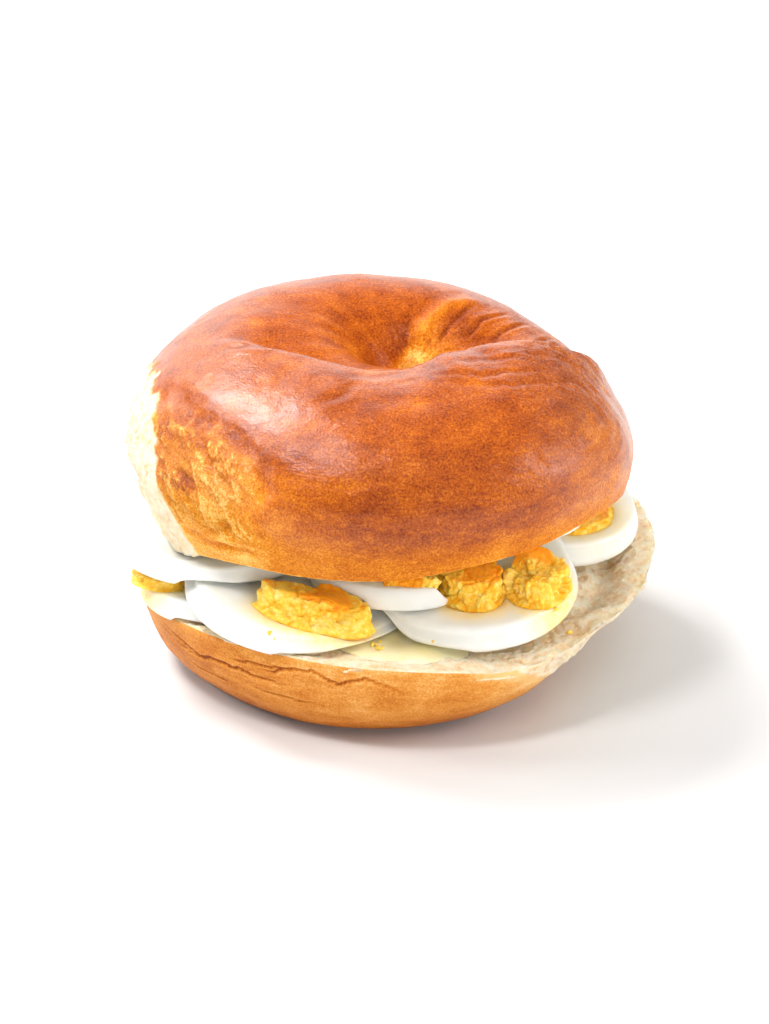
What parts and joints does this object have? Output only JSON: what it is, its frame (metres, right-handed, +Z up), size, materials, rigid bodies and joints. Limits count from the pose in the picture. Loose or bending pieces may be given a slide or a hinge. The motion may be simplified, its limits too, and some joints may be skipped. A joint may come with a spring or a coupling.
{
  "type": "bagel sandwich",
  "caption": "Bagel cut in two and filled with sliced hard-boiled egg on a thin butter spread, a ready-made cold sandwich.",
  "frame": {"origin": "under the middle of the sandwich's outline, on the surface that it stands on", "axes": "+Z up through the hole; -Y is the open front where most of the egg shows; +X to the right as seen from that front"},
  "size_m": [0.111, 0.1042, 0.072],
  "materials": {
    "crust_brown": "glossy baked bread crust, brown, darker where it bulges, pale cream where it is torn",
    "crust_tan": "soft golden tan bread crust with a pale cream crumb on the cut side",
    "butter": "thin pale yellow spread, soft and slightly glossy",
    "egg_white": "moist boiled egg white, smooth and slightly translucent",
    "yolk": "crumbly hard-boiled yolk, orange-yellow with paler broken faces"
  },
  "bodies": {
    "root": {"crown": "crust_brown", "heel": "crust_tan", "spread": "butter", "white_back_left": "egg_white", "white_back_middle": "egg_white", "white_back_right": "egg_white", "white_back_top": "egg_white", "white_front_left": "egg_white", "white_front_right": "egg_white", "white_left_high": "egg_white", "white_left_low": "egg_white", "white_right": "egg_white", "white_right_top": "egg_white", "white_shard": "egg_white", "yolk_back_left": "yolk", "yolk_back_middle": "yolk", "yolk_back_right": "yolk", "yolk_back_top": "yolk", "yolk_front_left": "yolk", "yolk_front_right_1": "yolk", "yolk_front_right_2": "yolk", "yolk_left_low": "yolk", "yolk_right": "yolk", "yolk_right_top": "yolk"}
  },
  "joints": []
}
